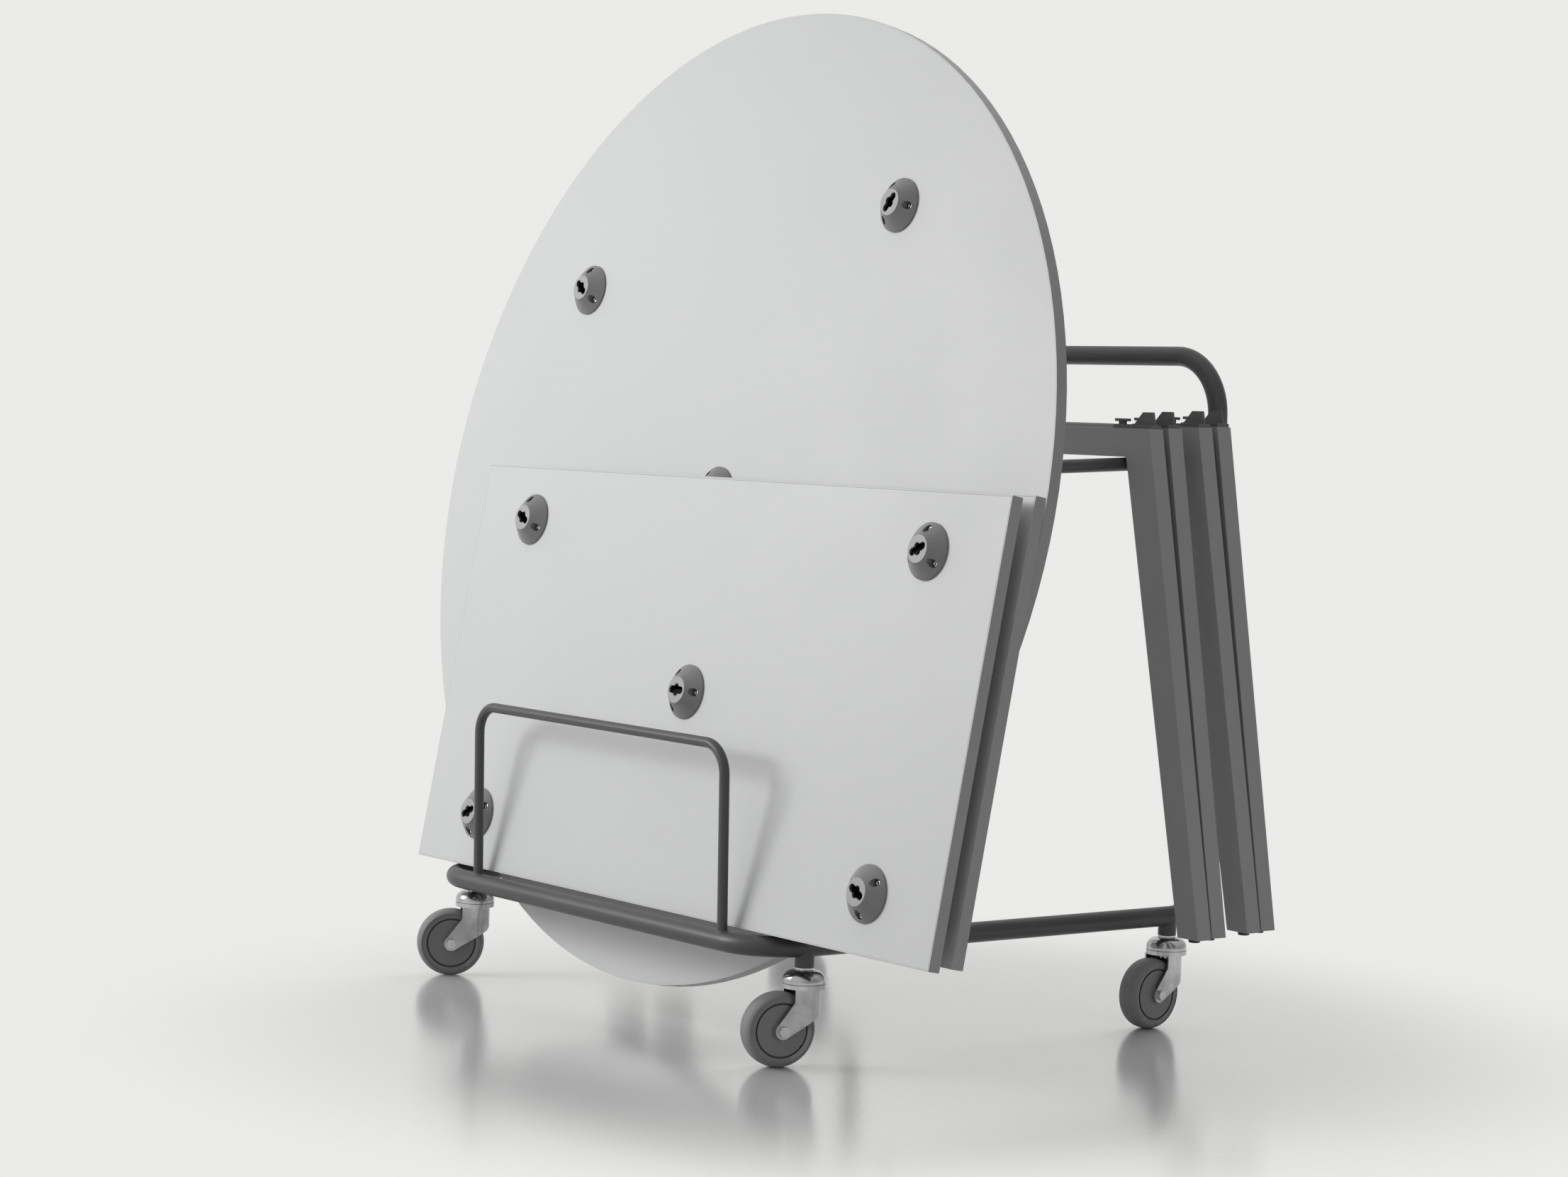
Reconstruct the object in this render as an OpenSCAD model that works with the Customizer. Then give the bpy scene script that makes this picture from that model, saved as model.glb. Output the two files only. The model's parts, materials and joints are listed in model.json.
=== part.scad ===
// Castor trolley loaded with a knocked-down table set: two rectangular tops and one
// round top lean back on a bent tube frame, and four leg frames hang on its rear rails.
// X runs along the front bar, Y runs to the back and Z runs up. The origin is on the
// floor, under the middle of the whole loaded trolley.

/* [Tube frame] */
// Diameter of the main tube
tube_d = 28; // [24:0.5:32]
// Wall of the main tube
tube_wall = 2; // [1.5:0.25:3]
// Distance from the middle of the trolley to each side bar
side_x = 403; // [360:1:430]
// Distance from the middle of the castors forward to the front bar
front_y = 400; // [385:1:430]
// Distance from the middle of the castors back to the rear posts
post_y = 409; // [400:1:440]
// Height of the base tube's centre line
tube_z = 158; // [155:0.5:175]
// Bend radius of the front corners
corner_r = 80; // [65:1:100]
// Bend radius where the side bars turn up into the posts
rear_bend_r = 76; // [60:1:90]
// Forward lean of the rear posts, in degrees
post_lean = 1.8; // [0:0.1:3]
// Height of the push handle's centre line
handle_z = 960; // [930:1:1000]
// Bend radius at the ends of the handle
handle_r = 82; // [70:1:120]

/* [Front hoop] */
// Diameter of the hoop's rod
hoop_d = 14; // [10:0.5:16]
// Distance between the hoop's two posts
hoop_w = 600; // [500:1:640]
// Sideways place of the hoop's middle
hoop_x = 15; // [-20:1:20]
// Height of the hoop's top rod
hoop_z = 418; // [360:1:440]
// Bend radius of the hoop's corners
hoop_r = 40; // [25:1:60]
// Forward lean of the hoop, in degrees
hoop_lean = 1.3; // [0:0.1:3]

/* [Rails] */
// Diameter of the rails that carry the leg frames
rail_d = 19; // [16:0.5:22]
// Wall of the rails
rail_wall = 1.5; // [1:0.25:2]
// Height of the rails' centre line at the foremost leg frame
rail_z = 803; // [780:1:830]
// Rise of the rails towards the back, in degrees
rail_rise = 2.6; // [0:0.1:4]
// Bend radius where the rails turn down
rail_bend_r = 80; // [60:1:100]
// Diameter of the bar that joins the rails behind the round top
back_bar_d = 16; // [12:0.5:18]

/* [Castors] */
// Distance from the middle to the castors, front and rear
stem_y = 329; // [315:1:332]
// Diameter of the wheels
wheel_d = 100; // [90:1:104]
// Width of the wheels
wheel_w = 32; // [26:1:34]
// Trail from the stem to the wheel's axle
trail = 35; // [30:1:38]
// Diameter of the tyre's inside
tyre_bore_d = 88; // [80:1:90]
// Diameter of the groove ring in the wheel's face
groove_d = 71; // [60:1:76]
// Width and depth of the groove ring
groove_w = 1.5; // [1:0.25:2.5]
// Depth by which the wheel's face lies behind the tyre's side
face_recess = 1; // [0.5:0.25:2]
// Diameter of the wheel's hub
hub_d = 20; // [16:1:26]
// Diameter of the axle bolt
axle_d = 8; // [6:0.5:10]
// Size across the flats of the axle bolt's head
bolt_flats = 13; // [10:0.5:15]
// Diameter of the castor's stem
stem_d = 12; // [10:0.5:14]
// Diameter of the fork's flange and of the cap above it
flange_d = 58; // [54:1:62]
// Height of the top of the fork's flange
flange_z = 110; // [109:0.5:112]
// Thickness of the fork's flange
flange_t = 6; // [5:0.5:6.5]
// Height of the cap above the flange
cap_h = 17.4; // [15:0.2:17.8]
// Diameter of the flat on top of the cap
cap_top_d = 27; // [25:0.5:32]
// Outside diameter of the fork's barrel
barrel_d = 45; // [44:0.5:47]
// Thickness of the fork's sheet
fork_t = 2.5; // [2:0.25:2.75]
// Radius of the fork's arms round the axle
arm_r = 11; // [10:0.5:13]
// Diameter of the collars welded under the tube
collar_d = 26; // [22:0.5:27]
// Height of the lock nut between cap and collar
nut_h = 3; // [2:0.25:4]
// Size across the flats of the lock nut
nut_flats = 22; // [19:0.5:24]
// Diameter of the swivel bearing's balls
ball_d = 5; // [4:0.25:5.5]
// Pitch radius of the swivel bearing's balls
ball_ring_r = 19; // [17:0.5:22]
// Number of balls in each swivel bearing
balls = 14; // [8:1:18]

/* [Tops] */
// Thickness of every top
top_t = 18; // [16:0.5:22]
// Length of the rectangular tops
top_w = 1200; // [1100:5:1250]
// Depth of the rectangular tops
top_h = 600; // [500:5:620]
// Diameter of the round top
round_d = 1400; // [1300:5:1420]
// Thickness of the edging round every top
edging_t = 2; // [1:0.25:3]
// Backward lean of the tops, in degrees
top_lean = 10.5; // [8:0.1:12]
// Distance from the middle forward to the front top's lower edge
top_y = 384; // [380:1:392]
// Sideways place of the rectangular tops
top_x = 121; // [0:1:130]
// Distance from a rectangular top's short edge to its corner sockets
socket_inset_x = 142; // [120:1:170]
// Distance from a rectangular top's long edge to its corner sockets
socket_inset_z = 79; // [70:1:100]
// Radius on which the round top's outer sockets lie
socket_ring_r = 508; // [450:1:560]

/* [Sockets] */
// Diameter of a socket where it meets the top
socket_d = 76; // [70:1:80]
// Height of a socket
socket_h = 19.7; // [17:0.1:21]
// Height of the upright rim round a socket
socket_rim_h = 2.5; // [1.5:0.25:4]
// Diameter of a socket's flat face
boss_d = 37; // [34:0.5:40]
// Thickness of the plate behind the flat face
boss_t = 3.5; // [2.5:0.25:4.5]
// Diameter of the chamber behind the plate
chamber_d = 31; // [29:0.5:32]
// Length of the keyhole slot in the plate
slot_l = 30.5; // [26:0.5:30.5]
// Length of the cross slot in the plate
slot_cross_l = 17.5; // [16:0.5:21]
// Width of both slots
slot_w = 10.5; // [8:0.5:11]
// Radius on which a socket's screws lie
screw_ring_r = 28; // [26:0.25:28.5]
// Diameter of the screw pockets
pocket_d = 11; // [9:0.25:11.5]
// Height of the floor of the screw pockets
pocket_floor_h = 3; // [2:0.25:4]
// Diameter of the screw heads
screw_head_d = 7.4; // [6:0.2:8]
// Height of the screw heads
screw_head_h = 2.6; // [2:0.2:3]
// Diameter of the screws
screw_d = 4; // [3:0.25:5]
// Length of the screws under the head
screw_l = 14; // [10:0.5:16]

/* [Leg frames] */
// Distance between the two studs of a leg frame
stud_gap = 1014; // [960:1:1060]
// Distance from a stud to the end of the beam
beam_overhang = 67.5; // [60:0.5:75]
// Height of the beam
beam_h = 40; // [34:0.5:46]
// Width of the leg where it meets the beam
leg_top_w = 44.8; // [40:0.2:50]
// Width of the leg at the foot
leg_foot_w = 40; // [36:0.2:46]
// Distance between the outer faces of the feet
foot_spread = 1411; // [1340:1:1440]
// Height of a leg frame without its glides
frame_h = 697; // [670:1:710]
// Thickness of a leg frame
frame_t = 26; // [22:0.5:27]
// Wall of the rectangular tube that the leg frames are made of
frame_wall = 1.5; // [1:0.25:3]
// Fillet where the leg meets the beam
frame_fillet_r = 5; // [3:0.5:8]
// Sideways place of the hanging leg frames
frame_x = -113; // [-113:1:-105]
// Distance from the middle back to the foremost leg frame's centre
frame_y = 213; // [205:1:214]
// Distance between the two leg frames of a nested pair
pair_pitch = 36; // [35:0.5:37]
// Distance between the two nested pairs
pair_gap = 95; // [90:0.5:95]
// Lean that brings the feet of a pair together, in degrees
pair_lean = 0.36; // [0:0.02:0.38]
// Diameter of the glides
glide_d = 16; // [14:0.5:20]
// Height of the glides under the leg
glide_h = 5; // [4:0.5:7]
// Diameter of the glides' stems
glide_stem_d = 8; // [6:0.5:10]
// Length of the glides' stems
glide_stem_l = 16; // [12:0.5:20]

/* [Brackets and studs] */
// Thickness of the bracket plate
bracket_t = 5; // [4:0.25:6]
// Width of the bracket plate
bracket_w = 22; // [20:0.5:24]
// Distance from a stud to the inner end of its bracket
bracket_nose = 15.5; // [13:0.5:18]
// Distance from a stud to the outer end of its bracket
bracket_tail = 66; // [60:0.5:67]
// Distance from a stud to the foot of the bracket's rib
rib_foot = 24; // [20:0.5:28]
// Slope run of the rib on the side of the stud
rib_run = 18; // [12:0.5:22]
// Height of the rib above the plate
rib_h = 18; // [14:0.5:20]
// Thickness of the rib
rib_t = 4; // [3:0.25:5]
// Diameter of a stud's neck
stud_neck_d = 11.6; // [10:0.2:13]
// Height of a stud's neck above its bracket
stud_neck_h = 4.6; // [4:0.2:6]
// Height of a stud's head
stud_head_h = 4; // [3:0.2:5]

/* [Clearances] */
// Gap between pieces that rest or lean on each other
seat_gap = 0.3; // [0.2:0.05:0.4]
// Radial clearance of a shaft that turns in its bore
running_fit = 0.05; // [0.03:0.01:0.08]
// Play all round between a stud's head and the clover slot that it enters
stud_play = 0.75; // [0.5:0.05:1]
// Gap beside the wheel's hub and under the cap
side_gap = 0.4; // [0.3:0.05:0.6]

/* [Hidden] */
$fn = 64;

// Length by which a cut runs past the faces that it opens
overrun = 1;
// Places of the castors as shares of side_x and stem_y, and the way each wheel trails
castor_side_shares = [[-1, -1], [1, -1], [-1, 1], [1, 1]];
castor_headings = [-118, -106, -99, -85];
// Number of screws in each socket
socket_screw_count = 3;
// Bearing of the round top's outer sockets from its middle
round_socket_bearings = [54, 144, 234, 324];
// Shares of the barrel's radius where the fork's front edge turns back
fork_nose_share = 0.84;
// Share of an arm's radius at which the straight edges run into it
arm_edge_share = 0.97;

tube_r = tube_d / 2;
rail_r = rail_d / 2;
wheel_r = wheel_d / 2;
stem_r = stem_d / 2;
barrel_r = barrel_d / 2;
round_r = round_d / 2;
boss_r = boss_d / 2;
socket_r = socket_d / 2;

// Middle of the loaded trolley, which becomes the origin
origin_x = (frame_x - foot_spread / 2 + top_x + top_w / 2) / 2;
origin_y = (post_y - front_y) / 2;

// Rear bend and posts
rear_bend_y = post_y - rear_bend_r;
post_foot_z = tube_z + rear_bend_r * (1 + sin(post_lean));
post_h = (handle_z - post_foot_z) / cos(post_lean);

// Tops: each stands one pitch behind the other, with its lower edge on the side bars
top_pitch = top_t + socket_h + seat_gap;
top_z = tube_z + tube_r + seat_gap + top_t * sin(top_lean);
middle_top_y = -top_y + top_pitch / cos(top_lean);
round_face_y = -top_y + 2 * top_pitch / cos(top_lean);
round_rise = sqrt(pow(round_r + (tube_r + seat_gap) / cos(top_lean), 2) - pow(side_x, 2));
round_z = tube_z + round_rise * cos(top_lean) + top_t * sin(top_lean);
round_y = round_face_y + (round_z - top_z) * tan(top_lean);

// Rails: the bends stand just behind the round top's back face
round_back_y = round_y + top_t / cos(top_lean);
rail_bend_z_at_frame = rail_z - rail_bend_r / cos(rail_rise) - frame_y * tan(rail_rise);
rail_bend_y = (round_back_y + (rail_bend_z_at_frame - round_z) * tan(top_lean)
    + (rail_bend_r + rail_r + seat_gap) / cos(top_lean))
    / (1 - tan(rail_rise) * tan(top_lean));
rail_bend_z = rail_bend_z_at_frame + rail_bend_y * tan(rail_rise);
rail_end_y = post_y - (rail_z - post_foot_z) * tan(post_lean);

// Castors
collar_z = flange_z + side_gap + cap_h + nut_h;
barrel_z = flange_z - flange_t;
fork_inner_w = barrel_d - 2 * fork_t;
rivet_h = stem_r;
rivet_d = stem_d * 5 / 3;
nose_z = wheel_r + barrel_r + fork_t;

// Leg frames
beam_half = stud_gap / 2 + beam_overhang;
leg_drop = frame_h - beam_h;
frame_ys = [frame_y, frame_y + pair_pitch, frame_y + pair_gap, frame_y + pair_gap + pair_pitch];
frame_leans = [pair_lean, -pair_lean, pair_lean, -pair_lean];

function rail_top(y) = rail_z + (y - frame_y) * tan(rail_rise) + rail_r / cos(rail_rise);
function beam_z(y) = rail_top(y) + frame_t / 2 * (tan(rail_rise) + sin(pair_lean)) + seat_gap;
function arc(x, z, r, from, to, steps) =
    [for (i = [0 : steps]) let (a = from + (to - from) * i / steps) [x + r * cos(a), z + r * sin(a)]];

// Everything is drawn round the middle of the castors and moved to the origin here
module placed() {
    translate([-origin_x, -origin_y, 0]) children();
}

module rod_x(d, l) {
    rotate([0, 90, 0]) cylinder(d = d, h = l);
}

module rod_y(d, l) {
    rotate([-90, 0, 0]) cylinder(d = d, h = l);
}

// Bend in the level plane, from heading +X round to heading +Y
module level_bend(r, d) {
    rotate([0, 0, -90]) rotate_extrude(angle = 90) translate([r, 0]) circle(d = d);
}

// Bend in the plane of Y and Z that starts at its foot and turns up by an angle
module rising_bend(r, d, turn) {
    rotate([0, 0, 90]) rotate([90, 0, 0]) rotate([0, 0, -90])
        rotate_extrude(angle = turn) translate([r, 0]) circle(d = d);
}

// Bend in the plane of X and Z, from heading +Z round to heading -X
module handle_bend(r, d) {
    rotate([90, 0, 0]) rotate_extrude(angle = 90) translate([r, 0]) circle(d = d);
}

module front_bar(d, past) {
    translate([-past, -front_y, tube_z]) rod_x(d, side_x - corner_r + past);
}

module front_corner(d) {
    translate([side_x - corner_r, corner_r - front_y, tube_z]) level_bend(corner_r, d);
}

module side_bar(d) {
    translate([side_x, corner_r - front_y, tube_z]) rod_y(d, rear_bend_y + front_y - corner_r);
}

// Post's own frame: its straight part starts at the end of the rear bend
module at_post() {
    translate([side_x, rear_bend_y, tube_z + rear_bend_r]) rotate([post_lean, 0, 0])
        translate([0, rear_bend_r, 0]) children();
}

module rear_bend(d) {
    translate([side_x, rear_bend_y, tube_z + rear_bend_r]) rising_bend(rear_bend_r, d, 90 + post_lean);
}

module rear_post(d, past) {
    rear_bend(d);
    at_post() {
        cylinder(d = d, h = post_h - handle_r);
        translate([-handle_r, 0, post_h - handle_r]) handle_bend(handle_r, d);
        translate([-side_x - past, 0, post_h]) rod_x(d, side_x - handle_r + past);
    }
}

module half_frame(d, past) {
    front_bar(d, past);
    front_corner(d);
    side_bar(d);
    rear_post(d, past);
}

module frame_tube(side) {
    color([0.27, 0.27, 0.28]) placed() mirror([side < 0 ? 1 : 0, 0, 0]) difference() {
        half_frame(tube_d, 0);
        half_frame(tube_d - 2 * tube_wall, overrun);
    }
}

module front_hoop() {
    post_l = (hoop_z - tube_z) / cos(hoop_lean) - hoop_r;
    color([0.25, 0.25, 0.26]) placed() difference() {
        translate([hoop_x, -front_y, tube_z]) rotate([hoop_lean, 0, 0]) {
            for (side = [0, 1]) mirror([side, 0, 0]) translate([hoop_w / 2, 0, 0]) {
                cylinder(d = hoop_d, h = post_l);
                translate([-hoop_r, 0, post_l]) handle_bend(hoop_r, hoop_d);
            }
            translate([hoop_r - hoop_w / 2, 0, post_l + hoop_r]) rod_x(hoop_d, hoop_w - 2 * hoop_r);
        }
        translate([-side_x, -front_y, tube_z]) rod_x(tube_d, 2 * side_x);
    }
}

// Post as a plain bar, to shape the rail's end against it
module post_core() {
    at_post() cylinder(d = tube_d, h = post_h - handle_r);
}

module rail_path(d) {
    reach = (rail_end_y - rail_bend_y) / cos(rail_rise);
    leg_h = rail_bend_z - tube_z;
    translate([side_x, rail_bend_y, rail_bend_z]) {
        rotate([rail_rise, 0, 0]) translate([0, 0, rail_bend_r]) rod_y(d, reach);
        mirror([0, 1, 0]) rotate([90, 0, 0]) rising_bend(rail_bend_r, d, 90 - rail_rise);
        translate([0, -rail_bend_r, -leg_h]) cylinder(d = d, h = leg_h);
    }
}

module rail(side) {
    color([0.25, 0.25, 0.26]) placed() mirror([side < 0 ? 1 : 0, 0, 0]) difference() {
        rail_path(rail_d);
        rail_path(rail_d - 2 * rail_wall);
        post_core();
        side_bar(tube_d);
    }
}

module back_bar() {
    bar_y = rail_bend_y - rail_bend_r * cos(top_lean);
    bar_z = rail_bend_z + rail_bend_r * sin(top_lean);
    color([0.25, 0.25, 0.26]) placed() difference() {
        translate([-side_x, bar_y, bar_z]) rod_x(back_bar_d, 2 * side_x);
        for (side = [0, 1]) mirror([side, 0, 0]) rail_path(rail_d);
    }
}

// Castor parts are drawn with the wheel trailing along +X from the stem
module at_castor(i) {
    place = castor_side_shares[i];
    translate([place[0] * side_x, place[1] * stem_y, 0]) rotate([0, 0, castor_headings[i]]) children();
}

module castor_collars() {
    color([0.25, 0.25, 0.26]) placed() difference() {
        for (i = [0 : 3]) at_castor(i) translate([0, 0, collar_z]) difference() {
            cylinder(d = collar_d, h = tube_z - collar_z);
            translate([0, 0, -overrun]) cylinder(d = stem_d, h = tube_z);
        }
        for (side = [0, 1]) mirror([side, 0, 0]) {
            front_corner(tube_d);
            side_bar(tube_d);
            rear_bend(tube_d);
        }
    }
}

module castor_stems() {
    color([0.75, 0.75, 0.77]) placed() for (i = [0 : 3]) at_castor(i) {
        translate([0, 0, barrel_z - rivet_h - seat_gap]) cylinder(d = rivet_d, h = rivet_h);
        translate([0, 0, barrel_z - rivet_h]) cylinder(d = stem_d, h = tube_z - tube_r - barrel_z + rivet_h);
    }
}

module castor_lock_nuts() {
    color([0.72, 0.72, 0.74]) placed() for (i = [0 : 3]) at_castor(i)
        translate([0, 0, collar_z - nut_h]) difference() {
            cylinder(d = nut_flats / cos(30), h = nut_h, $fn = 6);
            translate([0, 0, -overrun]) cylinder(d = stem_d, h = nut_h + 2 * overrun);
        }
}

module castor_cap() {
    lip_h = cap_h / 5;
    dome = arc(0, 0, 1, 0, 90, 6);
    rise = flange_d / 2 - cap_top_d / 2;
    difference() {
        rotate_extrude() polygon(concat(
            [[stem_r, 0], [flange_d / 2, 0]],
            [for (p = dome) [cap_top_d / 2 + rise * p[0], lip_h + (cap_h - lip_h) * p[1]]],
            [[stem_r, cap_h]]));
        translate([0, 0, -side_gap / 2]) ball_groove();
    }
}

module ball_groove() {
    rotate_extrude() translate([ball_ring_r, 0]) circle(d = ball_d + side_gap);
}

module castor_caps() {
    color([0.8, 0.8, 0.82]) placed() for (i = [0 : 3]) at_castor(i)
        translate([0, 0, flange_z + side_gap]) castor_cap();
}

// Side outline of the fork: down the front, back along the arm, round the axle and up
module fork_outline() {
    arm_x = trail;
    nose_x = barrel_r * fork_nose_share;
    edge_r = arm_r * arm_edge_share;
    polygon([
        [-barrel_r, barrel_z], [-barrel_r, nose_z], [-nose_x, nose_z - arm_r / 2],
        [arm_x - edge_r * sin(30), wheel_r - edge_r * cos(30)],
        [arm_x + edge_r * sin(30), wheel_r - edge_r * cos(30)],
        [arm_x + edge_r * cos(35), wheel_r + edge_r * sin(35)],
        [barrel_r - fork_t, barrel_z - arm_r * 3 / 2], [barrel_r - fork_t, barrel_z]]);
    translate([arm_x, wheel_r]) circle(r = arm_r);
}

module fork_plan(r) {
    circle(r = r);
    translate([0, -r]) square([trail + arm_r + overrun, 2 * r]);
}

module fork(i) {
    color([0.78, 0.78, 0.8]) placed() at_castor(i) difference() {
        union() {
            intersection() {
                rotate([90, 0, 0]) translate([0, 0, -barrel_d]) linear_extrude(2 * barrel_d) fork_outline();
                linear_extrude(barrel_z) difference() {
                    fork_plan(barrel_r);
                    fork_plan(barrel_r - fork_t);
                }
            }
            translate([0, 0, barrel_z]) cylinder(d = flange_d, h = flange_t);
        }
        translate([0, 0, barrel_z - overrun]) cylinder(r = stem_r + running_fit, h = flange_t + 2 * overrun);
        translate([0, 0, flange_z + side_gap / 2]) ball_groove();
        translate([trail, -barrel_d, wheel_r]) rod_y(axle_d, 2 * barrel_d);
    }
}

module bearing_balls(i) {
    color([0.7, 0.7, 0.72]) placed() at_castor(i)
        for (k = [0 : balls - 1]) rotate([0, 0, 360 * k / balls])
            translate([ball_ring_r, 0, flange_z + side_gap / 2]) sphere(d = ball_d, $fn = 24);
}

module axle_bolt(i) {
    head_h = axle_d * 0.6;
    color([0.66, 0.66, 0.68]) placed() at_castor(i) translate([trail, 0, wheel_r]) {
        translate([0, -barrel_r, 0]) rod_y(axle_d, barrel_d);
        for (side = [0, 1]) mirror([0, side, 0]) translate([0, barrel_r, 0]) rotate([-90, 0, 0])
            cylinder(d = bolt_flats / cos(30), h = head_h, $fn = 6);
    }
}

module wheel_core(i) {
    face_y = wheel_w / 2 - face_recess;
    color([0.42, 0.42, 0.43]) placed() at_castor(i) translate([trail, 0, wheel_r]) rotate([90, 0, 0])
        difference() {
            union() {
                translate([0, 0, -face_y]) cylinder(d = tyre_bore_d, h = 2 * face_y);
                cylinder(d = hub_d, h = fork_inner_w - 2 * side_gap, center = true);
            }
            cylinder(r = axle_d / 2 + running_fit, h = 2 * barrel_d, center = true);
            for (side = [0, 1]) mirror([0, 0, side]) translate([0, 0, face_y - groove_w]) difference() {
                cylinder(d = groove_d + groove_w, h = groove_w + overrun);
                translate([0, 0, -overrun]) cylinder(d = groove_d - groove_w, h = groove_w + 3 * overrun);
            }
        }
}

module tyre(i) {
    half_w = wheel_w / 2;
    round_over = half_w / 2;
    section = concat(
        [[tyre_bore_d / 2, -half_w]],
        arc(wheel_r - round_over, round_over - half_w, round_over, -70, 0, 4),
        arc(wheel_r - round_over, half_w - round_over, round_over, 0, 70, 4),
        [[tyre_bore_d / 2, half_w]]);
    color([0.3, 0.3, 0.31]) placed() at_castor(i) translate([trail, 0, wheel_r]) rotate([90, 0, 0])
        rotate_extrude() polygon(section);
}

// Tops are drawn upright, front face at y = 0 with its lower edge or its middle at z = 0
module leaning(x, y, z) {
    translate([x, y, z]) rotate([-top_lean, 0, 0]) children();
}

module rectangle_board(margin) {
    translate([margin - top_w / 2, 0, margin]) cube([top_w - 2 * margin, top_t, top_h - 2 * margin]);
}

module rectangle_edging() {
    difference() {
        rectangle_board(0);
        translate([edging_t - top_w / 2, -overrun, edging_t])
            cube([top_w - 2 * edging_t, top_t + 2 * overrun, top_h - 2 * edging_t]);
    }
}

// Socket places on a rectangular top: four corners, then the middle
rectangle_sockets = [
    [socket_inset_x - top_w / 2, socket_inset_z], [top_w / 2 - socket_inset_x, socket_inset_z],
    [socket_inset_x - top_w / 2, top_h - socket_inset_z], [top_w / 2 - socket_inset_x, top_h - socket_inset_z],
    [0, top_h / 2]];
round_sockets = concat(
    [for (a = round_socket_bearings) [socket_ring_r * cos(a), socket_ring_r * sin(a)]],
    [[0, 0]]);

// Each outer socket is turned so that its long slot points at the middle one, the last of the places
module at_sockets(places) {
    middle = places[len(places) - 1];
    for (p = places) translate([p[0], 0, p[1]]) rotate([90, 0, 0])
        rotate([0, 0, atan2(middle[1] - p[1], middle[0] - p[0])]) children();
}

module at_socket_screws() {
    for (k = [0 : socket_screw_count - 1]) rotate([0, 0, k * 360 / socket_screw_count])
        translate([screw_ring_r, 0, 0]) children();
}

module slot(l, w) {
    for (side = [-1, 1]) translate([side * (l - w) / 2, 0]) circle(d = w);
    square([l - w, w], center = true);
}

// Clover shape of the slots, and of the stud heads that pass them with play all round
module clover(play) {
    slot(slot_l - 2 * play, slot_w - 2 * play);
    rotate([0, 0, 90]) slot(slot_cross_l - 2 * play, slot_w - 2 * play);
}

module socket() {
    difference() {
        rotate_extrude() polygon([
            [0, 0], [socket_r, 0], [socket_r, socket_rim_h], [boss_r, socket_h], [0, socket_h]]);
        translate([0, 0, -overrun]) cylinder(d = chamber_d, h = socket_h - boss_t + overrun);
        translate([0, 0, socket_h - boss_t - overrun]) linear_extrude(boss_t + 2 * overrun) clover(0);
        at_socket_screws() {
            translate([0, 0, pocket_floor_h]) cylinder(d = pocket_d, h = socket_h);
            translate([0, 0, -overrun]) cylinder(d = screw_d, h = socket_h);
        }
    }
}

module socket_screws() {
    at_socket_screws() translate([0, 0, pocket_floor_h]) {
        cylinder(d = screw_head_d, h = screw_head_h);
        translate([0, 0, -screw_l]) cylinder(d = screw_d, h = screw_l);
    }
}

module screw_holes(places) {
    at_sockets(places) at_socket_screws()
        translate([0, 0, pocket_floor_h - screw_l]) cylinder(d = screw_d, h = screw_l);
}

module rectangle_top(y, piece) {
    placed() leaning(top_x, y, top_z) {
        if (piece == "board") color([0.83, 0.84, 0.84]) difference() {
            rectangle_board(edging_t);
            screw_holes(rectangle_sockets);
        }
        if (piece == "edging") color([0.46, 0.46, 0.47]) rectangle_edging();
        if (piece == "sockets") color([0.55, 0.55, 0.56]) at_sockets(rectangle_sockets) socket();
        if (piece == "screws") color([0.8, 0.8, 0.82])
            at_sockets(rectangle_sockets) socket_screws();
    }
}

module round_top(piece) {
    placed() leaning(0, round_y, round_z) {
        if (piece == "board") color([0.83, 0.84, 0.84]) difference() {
            rotate([-90, 0, 0]) cylinder(r = round_r - edging_t, h = top_t, $fn = 180);
            screw_holes(round_sockets);
        }
        if (piece == "edging") color([0.46, 0.46, 0.47]) rotate([-90, 0, 0]) difference() {
            cylinder(r = round_r, h = top_t, $fn = 180);
            translate([0, 0, -overrun]) cylinder(r = round_r - edging_t, h = top_t + 2 * overrun, $fn = 180);
        }
        if (piece == "sockets") color([0.55, 0.55, 0.56]) at_sockets(round_sockets) socket();
        if (piece == "screws") color([0.8, 0.8, 0.82]) at_sockets(round_sockets) socket_screws();
    }
}

// Leg frames are drawn with the middle of the beam's underside at the origin
module at_frame(i) {
    translate([frame_x, frame_ys[i], beam_z(frame_ys[i])]) rotate([frame_leans[i], 0, 0]) children();
}

// Inner edge of the leg, and the fillet that rounds its corner under the beam
leg_inner_top = beam_half - leg_top_w;
leg_inner_foot = foot_spread / 2 - leg_foot_w;
leg_inner_angle = atan((leg_inner_foot - leg_inner_top) / leg_drop);
leg_outer_angle = atan((foot_spread / 2 - beam_half) / frame_h);
fillet_reach = frame_fillet_r * tan((90 - leg_inner_angle) / 2);

function side_outline(side) = concat(
    [[side * beam_half, beam_h], [side * foot_spread / 2, -leg_drop], [side * leg_inner_foot, -leg_drop]],
    [for (p = arc(leg_inner_top - fillet_reach, -frame_fillet_r, frame_fillet_r, leg_inner_angle, 90, 6))
        [side * p[0], p[1]]]);
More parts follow.
